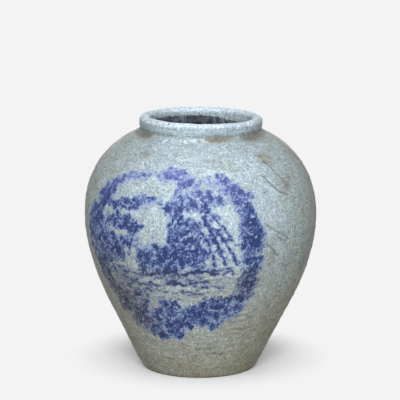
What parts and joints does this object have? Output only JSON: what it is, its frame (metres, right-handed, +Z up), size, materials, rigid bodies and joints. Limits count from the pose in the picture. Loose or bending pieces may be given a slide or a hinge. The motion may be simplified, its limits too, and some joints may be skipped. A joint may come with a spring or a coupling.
{
  "type": "fermenting crock",
  "caption": "High-shouldered stoneware fermenting crock with a rolled lip and a wide open mouth, blue painted foliage on a mottled pale glaze, and split weight stones that rest inside.",
  "frame": {"origin": "centre of the foot ring, on the surface the crock stands on", "axes": "+Z up along the crock's axis, out of its mouth; the weight stones part along X"},
  "size_m": [0.3, 0.3, 0.33],
  "materials": {
    "glazed_stoneware": "satin",
    "bare_stoneware": "matte"
  },
  "bodies": {
    "crock": {"crock": "glazed_stoneware"},
    "weight_left": {"weight_left": "bare_stoneware"},
    "weight_right": {"weight_right": "bare_stoneware"}
  },
  "joints": [
    {"name": "weight_left_lift", "type": "slide", "parent": "crock", "child": "weight_left", "axis": [0, 0, 1], "range_m": [0, 0.328]},
    {"name": "weight_right_lift", "type": "slide", "parent": "crock", "child": "weight_right", "axis": [0, 0, 1], "range_m": [0, 0.328]}
  ]
}
